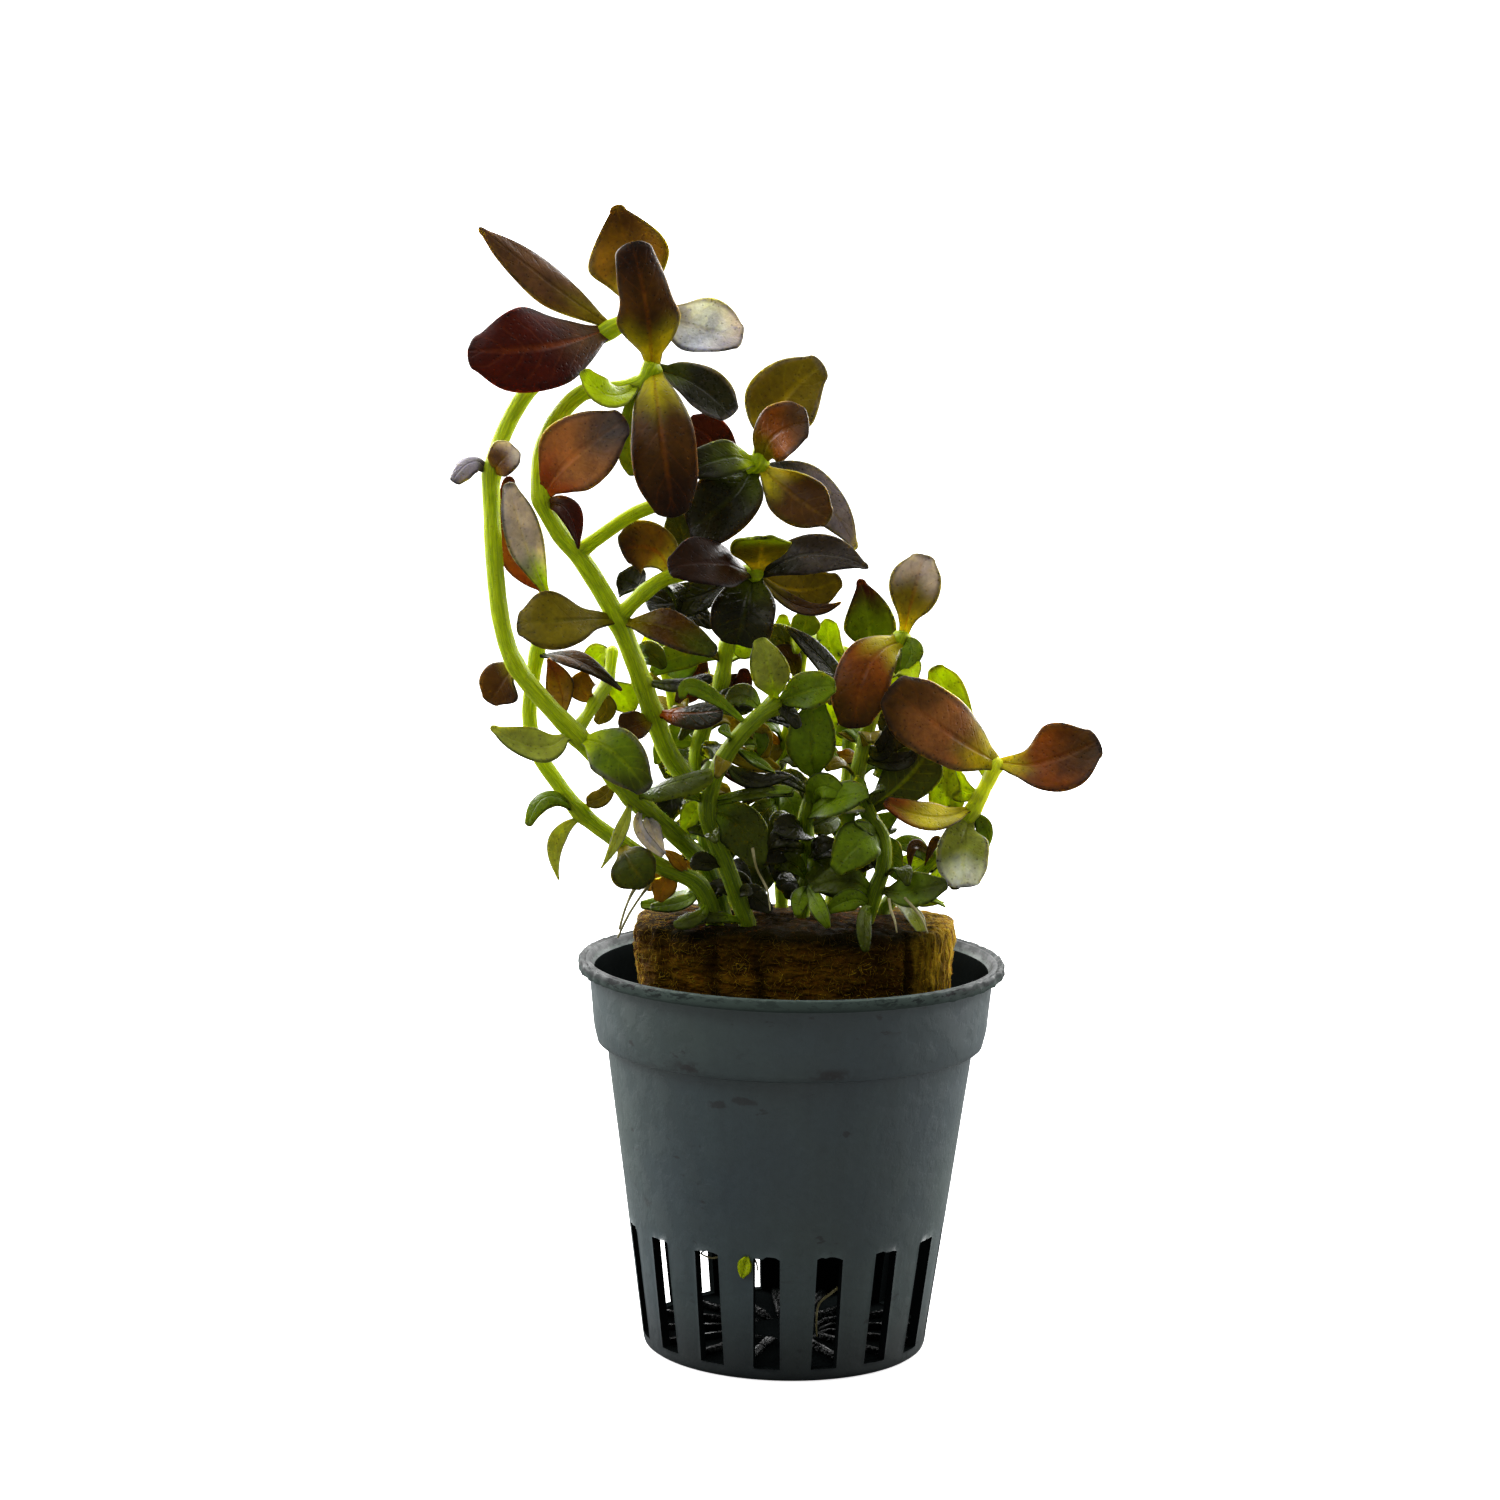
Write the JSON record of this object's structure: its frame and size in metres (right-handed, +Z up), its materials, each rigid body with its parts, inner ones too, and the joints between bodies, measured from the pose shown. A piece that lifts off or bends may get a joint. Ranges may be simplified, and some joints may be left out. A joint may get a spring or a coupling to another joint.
{
  "type": "potted aquarium plant",
  "caption": "Aquarium bacopa in a slotted dark grey net pot: backlit arching stems with reddish-brown, olive and grey-sheened leaves, growing from a golden-brown rockwool plug.",
  "frame": {"origin": "centre of the pot's flat foot, on the surface it stands on", "axes": "+Z up along the pot's axis; the side that the picture shows faces -Y; the tall arching stems lean to -X"},
  "size_m": [0.0811, 0.054, 0.1441],
  "materials": {
    "pot_plastic": "satin",
    "rockwool": "matte",
    "stem_green": "satin",
    "leaf_umber": "satin",
    "leaf_wine": "satin",
    "leaf_amber": "satin",
    "leaf_rust": "satin",
    "leaf_olive": "satin",
    "leaf_slate": "satin",
    "leaf_silver": "satin",
    "leaf_moss": "satin",
    "leaf_ink": "satin",
    "leaf_leaf": "satin",
    "leaf_lime": "satin",
    "leaf_pale": "satin"
  },
  "bodies": {
    "root": {"pot": "pot_plastic", "rockwool_plug": "rockwool", "stem_left": "stem_green", "stem_far_left": "stem_green", "stem_main": "stem_green", "shoot_high": "stem_green", "branch_middle": "stem_green", "stem_centre": "stem_green", "stem_centre_tall": "stem_green", "shoot_left_low": "stem_green", "stem_right": "stem_green", "stem_right_tall": "stem_green", "stem_back_middle": "stem_green", "stem_back_right": "stem_green", "stem_back_left": "stem_green", "stem_middle_right": "stem_green", "leaf_spear": "leaf_umber", "leaf_wine": "leaf_wine", "leaf_diamond": "leaf_amber", "leaf_cream": "leaf_silver", "leaf_bottle": "leaf_umber", "leaf_hanging": "leaf_umber", "leaf_dark_top": "leaf_ink", "leaf_rust": "leaf_rust", "leaf_silver": "leaf_silver", "leaf_ember": "leaf_rust", "leaf_olive_top": "leaf_olive", "leaf_brown_top": "leaf_umber", "leaf_brown_low": "leaf_amber", "leaf_slate": "leaf_slate", "leaf_dark_fan": "leaf_moss", "leaf_dark_low": "leaf_moss", "leaf_wine_small": "leaf_wine", "leaf_lime": "leaf_lime", "leaf_slate_right": "leaf_slate", "leaf_olive_right": "leaf_olive", "leaf_glossy_down": "leaf_ink", "leaf_black_left": "leaf_ink", "leaf_crumpled": "leaf_amber", "leaf_black_curl": "leaf_ink", "leaf_olive_left": "leaf_olive", "leaf_striped": "leaf_slate", "leaf_brown_point": "leaf_umber", "leaf_amber": "leaf_amber", "leaf_pale_point": "leaf_pale", "leaf_green_broad": "leaf_leaf", "leaf_green_curl": "leaf_moss", "leaf_round_olive": "leaf_olive", "leaf_red_broad": "leaf_rust", "leaf_right_tip": "leaf_rust", "leaf_orange_low": "leaf_amber", "leaf_pale_hanging": "leaf_pale", "leaf_green_square": "leaf_leaf", "leaf_high_right": "leaf_lime", "leaf_brown_bend": "leaf_rust", "leaf_green_low_right": "leaf_leaf", "leaf_dark_tip": "leaf_leaf", "leaf_green_middle": "leaf_leaf", "leaf_pale_upright": "leaf_lime", "leaf_gloss_brown": "leaf_ink"}
  },
  "joints": []
}
